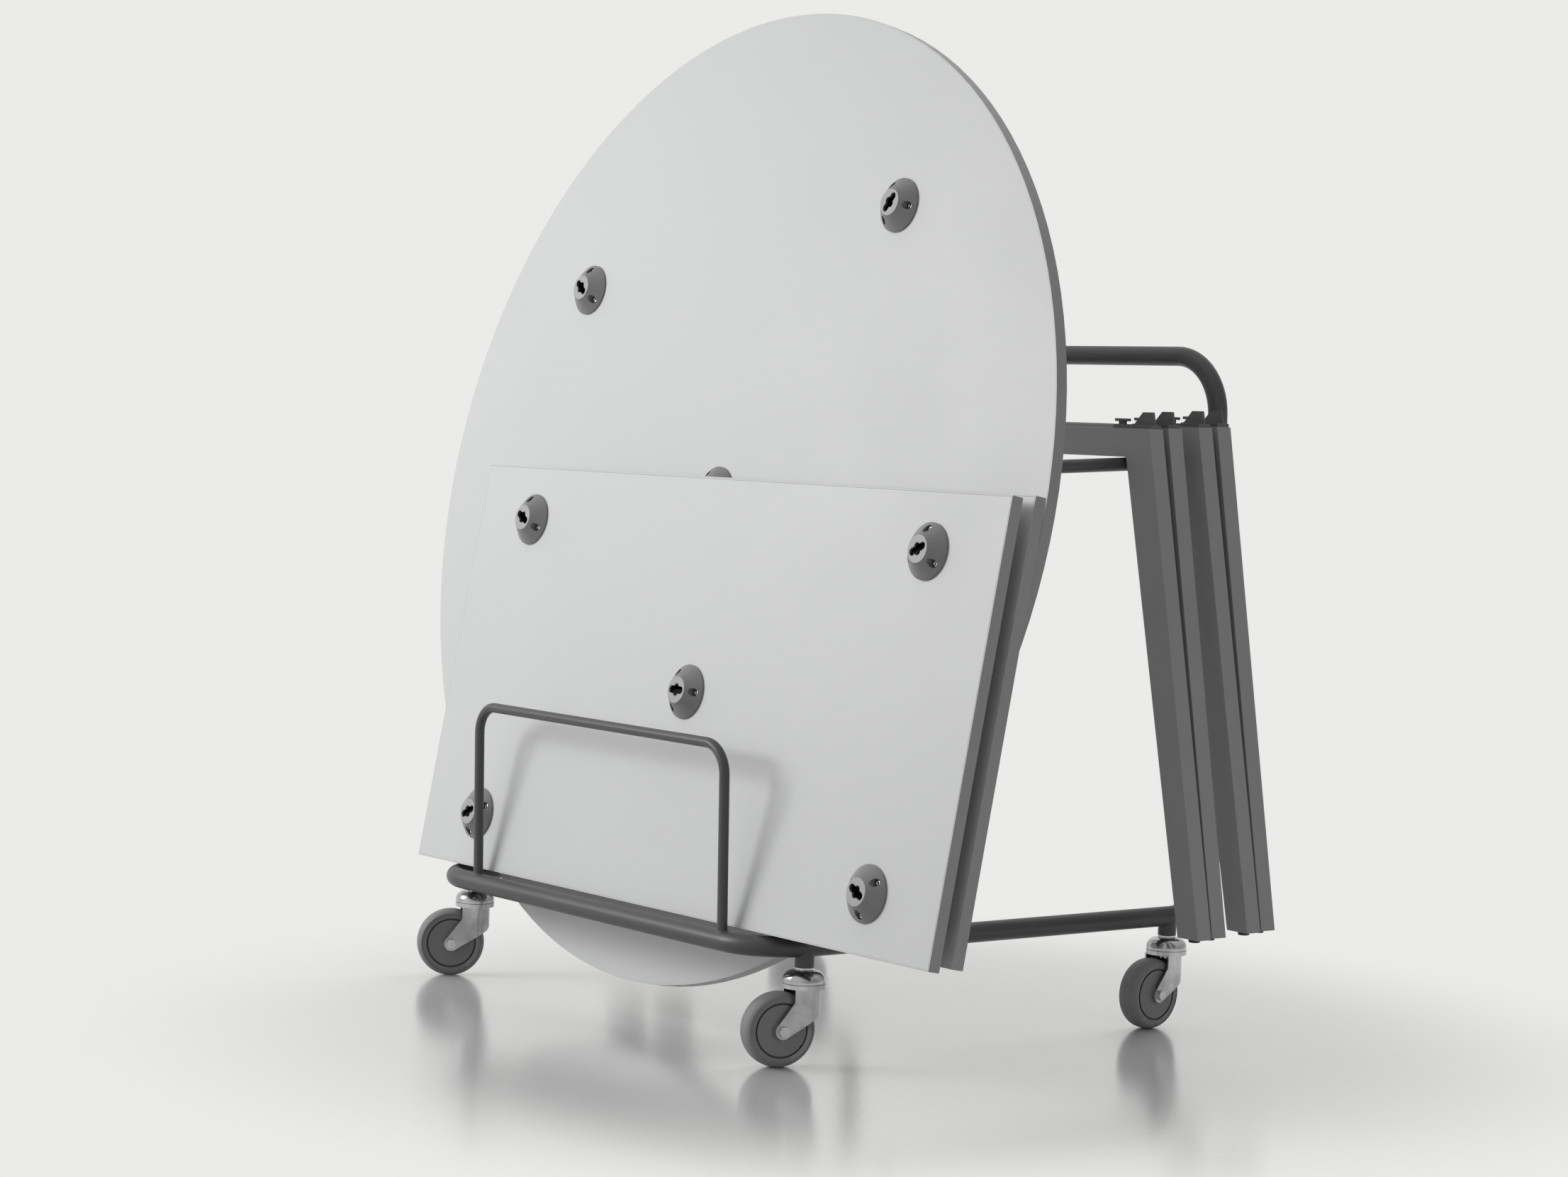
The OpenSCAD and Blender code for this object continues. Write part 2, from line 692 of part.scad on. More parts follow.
// Inside of the tube, one wall in from each edge
function side_hollow(side) = [
    for (p = [
        [leg_outer_x(beam_h - frame_wall), beam_h - frame_wall],
        [leg_outer_x(frame_wall - leg_drop), frame_wall - leg_drop],
        [leg_inner_x(frame_wall - leg_drop), frame_wall - leg_drop],
        [leg_inner_x(frame_wall), frame_wall]])
    [side * p[0], p[1]]];
function leg_outer_x(z) = beam_half + (beam_h - z) * tan(leg_outer_angle) - frame_wall / cos(leg_outer_angle);
function leg_inner_x(z) = leg_inner_top - z * tan(leg_inner_angle) + frame_wall / cos(leg_inner_angle);
function backwards(points) = [for (i = [len(points) - 1 : -1 : 0]) points[i]];

module leg_frame(i) {
    foot_x = foot_spread / 2 - leg_foot_w / 2;
    color([0.4, 0.4, 0.41]) placed() at_frame(i) difference() {
        rotate([90, 0, 0]) translate([0, 0, -frame_t / 2]) linear_extrude(frame_t)
            polygon(concat(side_outline(1), backwards(side_outline(-1))));
        rotate([90, 0, 0]) translate([0, 0, frame_wall - frame_t / 2]) linear_extrude(frame_t - 2 * frame_wall)
            polygon(concat(side_hollow(1), backwards(side_hollow(-1))));
        for (side = [-1, 1]) translate([side * foot_x, 0, -leg_drop - overrun])
            cylinder(d = glide_stem_d, h = glide_stem_l + overrun);
    }
}

module glides(i) {
    foot_x = foot_spread / 2 - leg_foot_w / 2;
    color([0.08, 0.08, 0.08]) placed() at_frame(i) for (side = [-1, 1])
        translate([side * foot_x, 0, -leg_drop]) {
            translate([0, 0, -glide_h]) cylinder(d = glide_d, h = glide_h);
            cylinder(d = glide_stem_d, h = glide_stem_l);
        }
}

module at_studs(i) {
    at_frame(i) for (side = [0, 1]) mirror([side, 0, 0]) translate([stud_gap / 2, 0, beam_h]) children();
}

module bracket() {
    rib_top_end = bracket_tail - rib_t;
    difference() {
        union() {
            cylinder(d = bracket_w, h = bracket_t);
            translate([0, -bracket_w / 2, 0]) cube([bracket_tail, bracket_w, bracket_t]);
            translate([bracket_w / 2 - bracket_nose, -bracket_w / 2, 0])
                cube([bracket_nose - bracket_w / 2, bracket_w, bracket_t]);
            translate([bracket_w / 2 - bracket_nose, 0, 0]) cylinder(d = bracket_w, h = bracket_t);
            translate([0, rib_t / 2, bracket_t]) rotate([90, 0, 0]) linear_extrude(rib_t) polygon([
                [rib_foot, -bracket_t / 2], [rib_foot, 0], [rib_foot + rib_run, rib_h],
                [rib_top_end, rib_h], [bracket_tail, 0], [bracket_tail, -bracket_t / 2]]);
        }
        translate([0, 0, -overrun]) cylinder(d = stud_neck_d, h = bracket_t + 2 * overrun);
    }
}

module brackets(i) {
    color([0.3, 0.3, 0.31]) placed() at_studs(i) bracket();
}

module studs(i) {
    color([0.28, 0.28, 0.29]) placed() at_studs(i) {
        cylinder(d = stud_neck_d, h = bracket_t + stud_neck_h);
        translate([0, 0, bracket_t + stud_neck_h]) linear_extrude(stud_head_h) clover(stud_play);
    }
}

frame_tube(-1);  // frame_tube_left
frame_tube(1);  // frame_tube_right
front_hoop();
rail(-1);  // rail_left
rail(1);  // rail_right
back_bar();
castor_collars();
castor_stems();
castor_lock_nuts();
castor_caps();
fork(0);  // fork_front_left
fork(1);  // fork_front_right
fork(2);  // fork_rear_left
fork(3);  // fork_rear_right
bearing_balls(0);  // bearing_balls_front_left
bearing_balls(1);  // bearing_balls_front_right
bearing_balls(2);  // bearing_balls_rear_left
bearing_balls(3);  // bearing_balls_rear_right
axle_bolt(0);  // axle_bolt_front_left
axle_bolt(1);  // axle_bolt_front_right
axle_bolt(2);  // axle_bolt_rear_left
axle_bolt(3);  // axle_bolt_rear_right
wheel_core(0);  // wheel_core_front_left
wheel_core(1);  // wheel_core_front_right
wheel_core(2);  // wheel_core_rear_left
wheel_core(3);  // wheel_core_rear_right
tyre(0);  // tyre_front_left
tyre(1);  // tyre_front_right
tyre(2);  // tyre_rear_left
tyre(3);  // tyre_rear_right
rectangle_top(-top_y, "board");  // front_top_board
rectangle_top(-top_y, "edging");  // front_top_edging
rectangle_top(-top_y, "sockets");  // front_top_sockets
rectangle_top(-top_y, "screws");  // front_top_screws
rectangle_top(middle_top_y, "board");  // middle_top_board
rectangle_top(middle_top_y, "edging");  // middle_top_edging
rectangle_top(middle_top_y, "sockets");  // middle_top_sockets
rectangle_top(middle_top_y, "screws");  // middle_top_screws
round_top("board");  // round_top_board
round_top("edging");  // round_top_edging
round_top("sockets");  // round_top_sockets
round_top("screws");  // round_top_screws
leg_frame(0);  // leg_frame_1
leg_frame(1);  // leg_frame_2
leg_frame(2);  // leg_frame_3
leg_frame(3);  // leg_frame_4
glides(0);  // glides_1
glides(1);  // glides_2
glides(2);  // glides_3
glides(3);  // glides_4
brackets(0);  // brackets_1
brackets(1);  // brackets_2
brackets(2);  // brackets_3
brackets(3);  // brackets_4
studs(0);  // studs_1
studs(1);  // studs_2
studs(2);  // studs_3
studs(3);  // studs_4
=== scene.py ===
import json
import math

import bmesh
import bpy
from mathutils import Matrix, Vector


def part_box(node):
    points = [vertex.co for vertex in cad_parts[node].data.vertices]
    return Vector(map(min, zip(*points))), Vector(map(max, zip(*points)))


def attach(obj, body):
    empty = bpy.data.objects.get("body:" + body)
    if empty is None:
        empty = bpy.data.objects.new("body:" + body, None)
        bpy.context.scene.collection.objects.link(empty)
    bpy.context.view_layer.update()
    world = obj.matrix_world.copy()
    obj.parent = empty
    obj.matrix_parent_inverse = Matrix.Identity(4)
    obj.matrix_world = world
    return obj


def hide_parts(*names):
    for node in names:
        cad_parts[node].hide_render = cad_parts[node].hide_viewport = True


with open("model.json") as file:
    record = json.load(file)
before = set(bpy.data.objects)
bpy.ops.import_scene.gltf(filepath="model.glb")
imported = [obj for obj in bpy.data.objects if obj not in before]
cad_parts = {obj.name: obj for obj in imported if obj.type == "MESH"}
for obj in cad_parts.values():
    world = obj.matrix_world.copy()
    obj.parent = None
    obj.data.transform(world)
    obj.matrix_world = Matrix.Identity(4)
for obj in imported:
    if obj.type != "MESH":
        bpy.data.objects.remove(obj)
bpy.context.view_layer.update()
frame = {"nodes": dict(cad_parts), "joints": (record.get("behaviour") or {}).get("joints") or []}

print("scene: frame loaded,", len(frame["nodes"]), "nodes")

cornerNames = ["front_left", "front_right", "rear_left", "rear_right"]
topLean = math.radians(10.5)  # the tops lean back by this much
upwards = Vector((0, 0, 1))


# Finishes. The colour varies by its spread and the roughness over its range, both with a wide
# noise, the mottle. A fine noise, the grain, gives a relief of the given depth in metres.
finishes = {
    "trolleyCoat": dict(colour=(0.062, 0.062, 0.065), spread=0.10, mottle=14,
                        grain=1400, depth=0.00005, bump=0.35, rough=(0.36, 0.46)),
    "frameCoat": dict(colour=(0.320, 0.320, 0.325), spread=0.05, mottle=9,
                      grain=1300, depth=0.00004, bump=0.30, rough=(0.50, 0.60)),
    "bracketCoat": dict(colour=(0.115, 0.115, 0.118), spread=0.08, mottle=30,
                        grain=1500, depth=0.00003, bump=0.25, rough=(0.38, 0.50)),
    "laminate": dict(colour=(0.600, 0.612, 0.606), spread=0.012, mottle=5,
                     grain=1100, depth=0.00003, bump=0.12, rough=(0.42, 0.50)),
    "upperFace": dict(colour=(0.520, 0.525, 0.520), spread=0.015, mottle=9,
                      grain=1300, depth=0.00003, bump=0.20, rough=(0.46, 0.56)),
    "edgeTrim": dict(colour=(0.320, 0.320, 0.324), spread=0.05, mottle=11,
                     grain=900, depth=0.00003, bump=0.20, rough=(0.28, 0.36)),
    "socketPlastic": dict(colour=(0.205, 0.205, 0.208), spread=0.04, mottle=40,
                          grain=1200, depth=0.00003, bump=0.20, rough=(0.30, 0.38)),
    "socketPlate": dict(colour=(0.370, 0.374, 0.374), spread=0.03, mottle=60,
                        grain=1500, depth=0.00002, bump=0.15, rough=(0.46, 0.54)),
    "zinc": dict(colour=(0.48, 0.48, 0.49), spread=0.24, mottle=42,
                 grain=600, depth=0.00001, bump=0.06, rough=(0.12, 0.24), metallic=1.0),
    "boltZinc": dict(colour=(0.60, 0.60, 0.61), spread=0.08, mottle=80,
                     grain=900, depth=0.00002, bump=0.15, rough=(0.22, 0.34), metallic=1.0),
    "tyreRubber": dict(colour=(0.215, 0.215, 0.218), spread=0.10, mottle=45,
                       grain=1000, depth=0.00008, bump=0.35, rough=(0.55, 0.70)),
    "wheelPlastic": dict(colour=(0.215, 0.215, 0.218), spread=0.06, mottle=35,
                         grain=1000, depth=0.00003, bump=0.25, rough=(0.42, 0.55)),
    "wheelRim": dict(colour=(0.285, 0.285, 0.288), spread=0.06, mottle=35,
                     grain=1000, depth=0.00003, bump=0.25, rough=(0.42, 0.55)),
    "glidePlastic": dict(colour=(0.012, 0.012, 0.012), spread=0.15, mottle=60,
                         grain=1100, depth=0.00003, bump=0.25, rough=(0.40, 0.52)),
    "weldBead": dict(colour=(0.060, 0.060, 0.063), spread=0.10, mottle=90,
                     grain=420, depth=0.00025, bump=0.55, rough=(0.34, 0.46)),
    # painted shade: this near-black stands in for the shade inside grooves, socket chambers and
    # screw recesses
    "paintedHoleShade": dict(colour=(0.006, 0.006, 0.006), spread=0.10, mottle=60,
                     grain=900, depth=0.00003, bump=0.20, rough=(0.55, 0.70)),
}
# Most of a noise's values lie in its range
noise = {"wideDetail": 4, "fineDetail": 2, "range": (0.3, 0.7)}


def noiseOf(tree, vector, scale, detail):
    node = tree.nodes.new("ShaderNodeTexNoise")
    node.inputs["Scale"].default_value = scale
    node.inputs["Detail"].default_value = detail
    tree.links.new(vector, node.inputs["Vector"])
    return node.outputs["Fac"]


def rangeOf(tree, value, source, target, smooth=False):
    node = tree.nodes.new("ShaderNodeMapRange")
    if smooth:
        node.interpolation_type = "SMOOTHSTEP"
    node.inputs["From Min"].default_value, node.inputs["From Max"].default_value = source
    node.inputs["To Min"].default_value, node.inputs["To Max"].default_value = target
    tree.links.new(value, node.inputs["Value"])
    return node.outputs["Result"]


def rampOf(tree, value, dark, light):
    node = tree.nodes.new("ShaderNodeValToRGB")
    for element, place, colour in zip(node.color_ramp.elements, noise["range"], (dark, light)):
        element.position = place
        element.color = (*colour, 1)
    tree.links.new(value, node.inputs["Fac"])
    return node.outputs["Color"]


def addRelief(tree, shader, height, bump, depth):
    relief = tree.nodes.new("ShaderNodeBump")
    relief.inputs["Strength"].default_value = bump
    relief.inputs["Distance"].default_value = depth
    tree.links.new(height, relief.inputs["Height"])
    tree.links.new(relief.outputs["Normal"], shader.inputs["Normal"])


def blendShaders(tree, share, first, second, output):
    blend = tree.nodes.new("ShaderNodeMixShader")
    tree.links.new(share, blend.inputs["Fac"])
    tree.links.new(first, blend.inputs[1])
    tree.links.new(second, blend.inputs[2])
    tree.links.new(blend.outputs["Shader"], tree.nodes[output].inputs["Surface"])


def newMaterial(name):
    material = bpy.data.materials.new(name)
    material.use_nodes = True
    tree = material.node_tree
    place = tree.nodes.new("ShaderNodeTexCoord").outputs["Object"]
    return material, tree, tree.nodes["Principled BSDF"], place


def makeFinish(name, colour, spread, mottle, grain, depth, bump, rough, metallic=0.0):
    material, tree, shader, place = newMaterial(name)
    wide = noiseOf(tree, place, mottle, noise["wideDetail"])
    fine = noiseOf(tree, place, grain, noise["fineDetail"])
    dark = tuple(c * (1 - spread) for c in colour)
    light = tuple(c * (1 + spread) for c in colour)
    tree.links.new(rampOf(tree, wide, dark, light), shader.inputs["Base Color"])
    tree.links.new(rangeOf(tree, wide, noise["range"], rough), shader.inputs["Roughness"])
    addRelief(tree, shader, fine, bump, depth)
    shader.inputs["Metallic"].default_value = metallic
    return material


materials = {name: makeFinish(name, **values) for name, values in finishes.items()}
print("scene: finishes made,", len(materials))


# Helpers for the pieces. Angles are in degrees; edges sharper than the crease stay sharp.
shaping = {"mergeWithin": 0.00001, "flatWithin": 0.4, "crease": 34, "flatWeight": 60}


def meshOf(bm, name):
    crease = math.radians(shaping["crease"])
    for face in bm.faces:
        face.smooth = True
    for edge in bm.edges:
        edge.smooth = len(edge.link_faces) == 2 and edge.calc_face_angle() < crease
    mesh = bpy.data.meshes.new(name)
    bm.to_mesh(mesh)
    bm.free()
    if "custom_normal" in mesh.attributes:
        mesh.attributes.remove(mesh.attributes["custom_normal"])
    return mesh


def newPiece(bm, name, finishNames, body, replaced=()):
    piece = bpy.data.objects.new(name, meshOf(bm, name))
    bpy.context.scene.collection.objects.link(piece)
    for finishName in finishNames:
        piece.data.materials.append(materials[finishName])
    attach(piece, body)
    if replaced:
        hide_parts(*replaced)
    return piece


def nodeCopy(node):
    bm = bmesh.new()
    bm.from_mesh(frame["nodes"][node].data)
    bmesh.ops.remove_doubles(bm, verts=bm.verts, dist=shaping["mergeWithin"])
    bmesh.ops.dissolve_limit(bm, angle_limit=math.radians(shaping["flatWithin"]),
                             verts=bm.verts, edges=bm.edges)
    return bm


def softenEdges(bm, width, segments=2, least=38):
    least = math.radians(least)
    sharp = [e for e in bm.edges if len(e.link_faces) == 2 and e.calc_face_angle() > least]
    bmesh.ops.bevel(bm, geom=sharp, offset=width, offset_type="OFFSET", segments=segments,
                    profile=0.5, affect="EDGES", clamp_overlap=True, material=-1)


def dressCopy(bm, node, finishNames, body):
    piece = newPiece(bm, node + "_dressed", finishNames, body, [node])
    weighted = piece.modifiers.new("keepFlats", "WEIGHTED_NORMAL")
    weighted.keep_sharp = True
    weighted.weight = shaping["flatWeight"]


def dressNode(node, body, finishName, width=0.0, segments=2, least=38):
    bm = nodeCopy(node)
    if width:
        softenEdges(bm, width, segments, least)
    dressCopy(bm, node, [finishName], body)


def spinRound(bm, steps):
    bmesh.ops.spin(bm, geom=bm.verts[:] + bm.edges[:], cent=(0, 0, 0), axis=upwards,
                   dvec=(0, 0, 0), angle=2 * math.pi, steps=steps, use_merge=True)
    bmesh.ops.remove_doubles(bm, verts=bm.verts, dist=shaping["mergeWithin"])
    bmesh.ops.recalc_face_normals(bm, faces=bm.faces)


def islandsOf(bm):
    known = set()
    islands = []
    for first in bm.verts:
        if first in known:
            continue
        known.add(first)
        reached = [first]
        for vert in reached:
            for edge in vert.link_edges:
                other = edge.other_vert(vert)
                if other not in known:
                    known.add(other)
                    reached.append(other)
        islands.append(reached)
    return islands


def middleOf(verts, axis):
    places = [v.co.dot(axis) for v in verts]
    return (min(places) + max(places)) / 2


def paintNode(node, finishName):
    for slot in frame["nodes"][node].material_slots:
        slot.material = materials[finishName]


# Trolley: the bent tubes keep their solids' shape, the small parts get rounded edges
trolley = {
    "tubeDiameter": 0.028, "hoopDiameter": 0.014, "barHeight": 0.158,
    "collarEdge": 0.0006, "stemEdge": 0.0006, "nutEdge": 0.0004, "capEdge": 0.0012,
    "capSegments": 3, "capLeast": 30,
}
tubeNodes = ["frame_tube_left", "frame_tube_right", "front_hoop",
             "rail_left", "rail_right", "back_bar"]
for node in tubeNodes:
    dressNode(node, "trolley", "trolleyCoat")
dressNode("castor_collars", "trolley", "trolleyCoat", trolley["collarEdge"])
dressNode("castor_stems", "trolley", "boltZinc", trolley["stemEdge"])
dressNode("castor_lock_nuts", "trolley", "boltZinc", trolley["nutEdge"])
dressNode("castor_caps", "trolley", "zinc", trolley["capEdge"],
          trolley["capSegments"], trolley["capLeast"])
for corner in cornerNames:
    paintNode("bearing_balls_" + corner, "boltZinc")


# Weld beads: a ring round each foot of the front hoop, lying on the front bar
weld = {
    "radius": 0.0016, "steps": 40, "sides": 10, "sink": 0.0004,
    "wobble": 0.00035, "waves": 17, "widest": 0.98,
}


def makeBead(name, foot, rodRadius, barRadius):
    s = weld
    bm = bmesh.new()
    upright = Matrix.Rotation(math.radians(90), 4, "X")
    ring = Matrix.Translation((rodRadius + s["sink"], 0, 0)) @ upright
    bmesh.ops.create_circle(bm, radius=s["radius"], segments=s["sides"], matrix=ring)
    spinRound(bm, s["steps"])
    for vert in bm.verts:
        offset = min(abs(vert.co.y), barRadius * s["widest"])
        drop = barRadius - math.sqrt(barRadius ** 2 - offset ** 2)
        ripple = s["wobble"] * math.sin(math.atan2(vert.co.y, vert.co.x) * s["waves"])
        vert.co.z = vert.co.z - drop + ripple
    bmesh.ops.translate(bm, vec=Vector(foot), verts=bm.verts)
    newPiece(bm, name, ["weldBead"], "trolley")


def hoopWelds():
    low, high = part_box("front_hoop")
    barLow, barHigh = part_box("frame_tube_left")
    rodRadius, barRadius = trolley["hoopDiameter"] / 2, trolley["tubeDiameter"] / 2
    for side, x in (("left", low.x + rodRadius), ("right", high.x - rodRadius)):
        foot = (x, barLow.y + barRadius, trolley["barHeight"] + barRadius)
        makeBead("hoop_weld_" + side, foot, rodRadius, barRadius)


hoopWelds()
print("scene: trolley dressed")


# Castors
castor = {
    "forkEdge": 0.0009, "forkSegments": 2, "forkLeast": 34, "boltEdge": 0.0004, "coreEdge": 0.0005,
    "tyreOuter": 0.050, "tyreInner": 0.044, "tyreHalfWidth": 0.016, "tyreSteps": 96,
    "crownSteps": 22, "crownPower": 3.0, "crownShoulder": 0.80,
    "grooveInner": 0.0335, "grooveOuter": 0.0370,
}


def castorPlace(corner):
    low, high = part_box("wheel_core_" + corner)
    return (low + high) / 2


def castorAxis(corner):
    for joint in frame["joints"]:
        if joint["name"] == "wheel_spin_" + corner:
            return Vector(joint["axis"]).normalized()


def makeTyre(corner):
    s = castor
    bm = bmesh.new()
    half, outer, inner = s["tyreHalfWidth"], s["tyreOuter"], s["tyreInner"]
    # the section lies in the plane of radius (x) and width (z)
    section = []
    for step in range(s["crownSteps"] + 1):
        aside = math.sin(math.pi * (step / s["crownSteps"] - 0.5))
        rise = (1 - abs(aside) ** s["crownPower"]) ** s["crownShoulder"]
        section.append(bm.verts.new((inner + (outer - inner) * rise, 0, half * aside)))
    for start, end in zip(section, section[1:] + section[:1]):
        bm.edges.new((start, end))
    spinRound(bm, s["tyreSteps"])
    turn = upwards.rotation_difference(castorAxis(corner)).to_matrix().to_4x4()
    place = Matrix.Translation(castorPlace(corner)) @ turn
    bmesh.ops.transform(bm, matrix=place, verts=bm.verts)
    newPiece(bm, "tyre_tread_" + corner, ["tyreRubber"], "wheel_" + corner,
             ["tyre_" + corner])


def makeCore(corner):
    s = castor
    node = "wheel_core_" + corner
    bm = nodeCopy(node)
    axis, middle = castorAxis(corner), castorPlace(corner)
    reach = max((v.co - middle).dot(axis) for v in bm.verts)
    softenEdges(bm, s["coreEdge"])
    coreFinishes = ["wheelPlastic", "paintedHoleShade", "wheelRim"]
    for face in bm.faces:
        out = face.calc_center_median() - middle
        height = out.dot(axis)
        radius = (out - axis * height).length
        # faces inside the groove get painted shade; faces outside it get the rim's grey
        if s["grooveInner"] < radius < s["grooveOuter"] and abs(height) < reach - s["coreEdge"]:
            face.material_index = coreFinishes.index("paintedHoleShade")
        elif radius > s["grooveOuter"]:
            face.material_index = coreFinishes.index("wheelRim")
    dressCopy(bm, node, coreFinishes, "wheel_" + corner)


for corner in cornerNames:
    fork = "fork_" + corner
    dressNode(fork, fork, "zinc", castor["forkEdge"],
              castor["forkSegments"], castor["forkLeast"])
    dressNode("axle_bolt_" + corner, fork, "boltZinc", castor["boltEdge"])
    makeCore(corner)
    makeTyre(corner)
print("scene: castors dressed")


# Tops. Their undersides, with the sockets, face the front.
tops = {
    "flatLimit": 0.9, "headLimit": 0.98, "edgeRound": 0.0007, "edgeLeast": 50,
    "socketRound": 0.0006, "socketLeast": 24, "faceDepth": 0.0006, "plateDepth": 0.0040,
    "chamberRadius": 0.0156, "floorRadius": 0.0154, "floorHeight": 0.0004, "floorSteps": 48,
    "screwRound": 0.0005, "screwLeast": 60, "recessEdge": 0.0016, "recessWall": 0.0004,
    "recessDepth": 0.0013,
}
across = Vector((1, 0, 0))
facing = Vector((0, -math.cos(topLean), math.sin(topLean)))  # out of the undersides
upSlope = Vector((0, math.sin(topLean), math.cos(topLean)))
slopeTurn = Matrix((across, upSlope, facing)).transposed().to_4x4()


def paintFlats(bm, topFinishes):
    for face in bm.faces:
        turned = face.normal.dot(facing)
        if turned > tops["flatLimit"]:
            face.material_index = topFinishes.index("laminate")
        elif turned < -tops["flatLimit"]:
            face.material_index = topFinishes.index("upperFace")


def dressBoard(body):
    bm = nodeCopy(body + "_board")
    boardFinishes = ["laminate", "upperFace"]
    paintFlats(bm, boardFinishes)
    dressCopy(bm, body + "_board", boardFinishes, body)


def dressEdging(body):
    # the laminate runs out over the trim on both faces, so only the side shows the trim's grey
    bm = nodeCopy(body + "_edging")
    edgingFinishes = ["edgeTrim", "laminate", "upperFace"]
    paintFlats(bm, edgingFinishes)
    softenEdges(bm, tops["edgeRound"], least=tops["edgeLeast"])
    dressCopy(bm, body + "_edging", edgingFinishes, body)


def dressSockets(body):
    s = tops
    bm = nodeCopy(body + "_sockets")
    middles = [across * middleOf(verts, across) + upSlope * middleOf(verts, upSlope)
               for verts in islandsOf(bm)]
    reach = max(v.co.dot(facing) for v in bm.verts)
    foot = min(v.co.dot(facing) for v in bm.verts)
    softenEdges(bm, s["socketRound"], least=s["socketLeast"])
    socketFinishes = ["socketPlastic", "socketPlate", "paintedHoleShade"]
    plate, dark = socketFinishes.index("socketPlate"), socketFinishes.index("paintedHoleShade")
    # the plate faces get the plate's grey; the chamber's inside faces get painted shade
    for face in bm.faces:
        centre = face.calc_center_median()
        height = centre.dot(facing)
        flat = centre - facing * height
        nearest = min((flat - middle).length for middle in middles)
        if face.normal.dot(facing) > s["flatLimit"] and height > reach - s["faceDepth"]:
            face.material_index = plate
        elif nearest < s["chamberRadius"] and height < reach - s["plateDepth"] + s["faceDepth"]:
            face.material_index = dark
    # a disc of painted shade closes each chamber just above the board
    for middle in middles:
        place = Matrix.Translation(middle + facing * (foot + s["floorHeight"])) @ slopeTurn
        circle = bmesh.ops.create_circle(bm, cap_ends=True, radius=s["floorRadius"],
                                         segments=s["floorSteps"], matrix=place)
        disc = circle["verts"][0].link_faces[0]
        disc.material_index = dark
        if disc.normal.dot(facing) < 0:
            disc.normal_flip()
    dressCopy(bm, body + "_sockets", socketFinishes, body)


def dressScrews(body):
    s = tops
    bm = nodeCopy(body + "_screws")
    flats = [(face, face.calc_center_median().dot(facing)) for face in bm.faces
             if face.normal.dot(facing) > s["headLimit"]]
    reach = max(height for face, height in flats)
    heads = [face for face, height in flats if height > reach - s["faceDepth"]]
    bmesh.ops.inset_individual(bm, faces=heads, thickness=s["recessEdge"])
    bmesh.ops.inset_individual(bm, faces=heads, thickness=s["recessWall"],
                               depth=-s["recessDepth"])
    # the recessed face in each screw head gets painted shade
    screwFinishes = ["boltZinc", "paintedHoleShade"]
    for face in heads:
        face.material_index = screwFinishes.index("paintedHoleShade")
    softenEdges(bm, s["screwRound"], least=s["screwLeast"])
    dressCopy(bm, body + "_screws", screwFinishes, body)


for body in ("front_top", "middle_top", "round_top"):
    dressBoard(body)
    dressEdging(body)
    dressSockets(body)
    dressScrews(body)
print("scene: tops dressed")


# Leg frames
legFrame = {
    "tubeRound": 0.0022, "tubeSegments": 3, "tubeLeast": 40,
    "bracketEdge": 0.0006, "studEdge": 0.0006, "glideEdge": 0.0010,
}
for number in ("1", "2", "3", "4"):
    body = "leg_frame_" + number
    dressNode(body, body, "frameCoat", legFrame["tubeRound"],
              legFrame["tubeSegments"], legFrame["tubeLeast"])
    dressNode("glides_" + number, body, "glidePlastic", legFrame["glideEdge"])
    dressNode("brackets_" + number, body, "bracketCoat", legFrame["bracketEdge"])
    dressNode("studs_" + number, body, "bracketCoat", legFrame["studEdge"])
print("scene: leg frames dressed")


# Studio: a polished pale floor under a sky that is bright on one side
studio = {
    "floorSize": 60.0, "floorGrey": 0.78, "floorRough": 0.17, "floorIor": 1.5,
    "floorPolish": 0.40, "rippleScale": 95.0, "rippleDepth": 0.0004, "ripple": 0.35,
    "fadeStart": 0.60, "fadeEnd": 1.20, "fadeMiddle": (0.25, -0.05, 0.0),
    "fadeShade": 0.75, "floorShade": 0.25,
    "backColour": (0.83, 0.83, 0.81), "brightSide": (-0.70, -0.40, 0.59),
    "skyEdge": -0.25, "dimSky": 0.05, "brightSky": 0.98, "dimGloss": 0.46,
}


